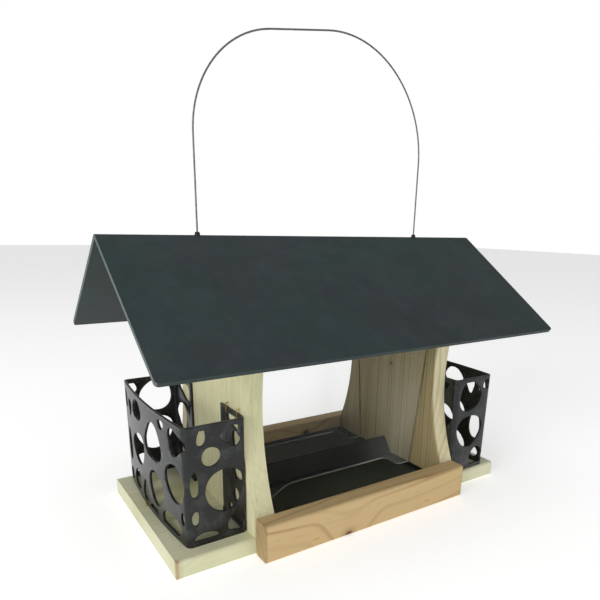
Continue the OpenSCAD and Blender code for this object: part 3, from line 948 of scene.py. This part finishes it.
class FEEDER_OT_stage(bpy.types.Operator):
    """Camera, floor and soft light"""

    bl_idname = "feeder.stage"
    bl_label = "Stage"

    def execute(self, context):
        stage = context.scene.feeder_stage
        scene = context.scene
        lens = bpy.data.cameras.new("view")
        lens.lens = stage.lens
        lens.sensor_width = 36
        lens.shift_x, lens.shift_y = stage.shift
        lens.clip_start, lens.clip_end = 0.01, 50
        camera = bpy.data.objects.new("view", lens)
        scene.collection.objects.link(camera)
        scene.camera = camera
        back = Vector((math.sin(stage.azimuth) * math.cos(stage.elevation),
                       -math.cos(stage.azimuth) * math.cos(stage.elevation), math.sin(stage.elevation)))
        right = Vector((math.cos(stage.azimuth), math.sin(stage.azimuth), 0))
        up = back.cross(right)
        level = Matrix((right, up, back)).transposed()
        camera.matrix_world = (Matrix.Translation(Vector(stage.eye)) @ level.to_4x4()
                               @ Matrix.Rotation(stage.roll, 4, "Z"))
        bpy.ops.object.select_all(action="DESELECT")
        bpy.ops.mesh.primitive_plane_add(size=14, location=(0, 0, 0))
        floor = named("floor")
        paint = Paint("floor_paint", 0.9, Specular_IOR_Level=0.1, Emission_Color=(1, 1, 1, 1),
                      Emission_Strength=0.42)
        cloud = paint.noise(paint.place(), 3.0, 2.0)
        pale = paint.blend(cloud * 0.3, stage.floor, [c * 0.97 for c in stage.floor])
        floor.data.materials.append(paint.finish(pale))
        world = bpy.data.worlds.new("studio")
        scene.world = world
        world.use_nodes = True
        tree = world.node_tree
        soft, plain = tree.nodes["Background"], tree.nodes.new("ShaderNodeBackground")
        soft.inputs["Strength"].default_value = 0.37
        soft.inputs["Color"].default_value = plain.inputs["Color"].default_value = (1, 1, 1, 1)
        seen, either = tree.nodes.new("ShaderNodeLightPath"), tree.nodes.new("ShaderNodeMixShader")
        tree.links.new(seen.outputs["Is Camera Ray"], either.inputs[0])
        tree.links.new(soft.outputs[0], either.inputs[1])
        tree.links.new(plain.outputs[0], either.inputs[2])
        tree.links.new(either.outputs[0], tree.nodes["World Output"].inputs["Surface"])
        heart = (0, 0, 0.1)
        lamp("left_softbox", (-1.9, -0.7, 0.75), heart, 1.3, 22)
        lamp("front_softbox", (0.3, -1.9, 0.9), heart, 1.5, 5)
        lamp("top_softbox", (-0.2, 0.1, 2.2), heart, 1.6, 4)
        scene.view_settings.view_transform = "Standard"
        return {"FINISHED"}


class FEEDER_PT_panel(bpy.types.Panel):
    """Lists what builds the feeder and its settings"""

    bl_idname = "FEEDER_PT_panel"
    bl_label = "Bird Feeder"
    bl_space_type = "VIEW_3D"
    bl_region_type = "UI"
    bl_category = "Feeder"

    def draw(self, context):
        for operator in OPERATORS:
            self.layout.operator(operator.bl_idname)
        for name, group in GROUPS.items():
            box = self.layout.box()
            for key in group.__annotations__:
                box.prop(getattr(context.scene, name), key)


OPERATORS = (FEEDER_OT_stage, FEEDER_OT_timber, FEEDER_OT_roof, FEEDER_OT_cages, FEEDER_OT_tray,
             FEEDER_OT_panes, FEEDER_OT_bail, FEEDER_OT_fasteners)
CLASSES = (*GROUPS.values(), *OPERATORS, FEEDER_PT_panel)


def register():
    for cls in CLASSES:
        bpy.utils.register_class(cls)
    for name, group in GROUPS.items():
        setattr(bpy.types.Scene, name, PointerProperty(type=group))


def unregister():
    for name in GROUPS:
        delattr(bpy.types.Scene, name)
    for cls in reversed(CLASSES):
        bpy.utils.unregister_class(cls)


def main():
    register()
    bpy.ops.object.select_all(action="DESELECT")
    bpy.ops.feeder.stage()
    bpy.ops.feeder.timber()
    bpy.ops.feeder.roof()
    bpy.ops.feeder.cages()
    bpy.ops.feeder.tray()
    bpy.ops.feeder.panes()
    bpy.ops.feeder.bail()
    bpy.ops.feeder.fasteners()


if __name__ == "__main__":
    main()
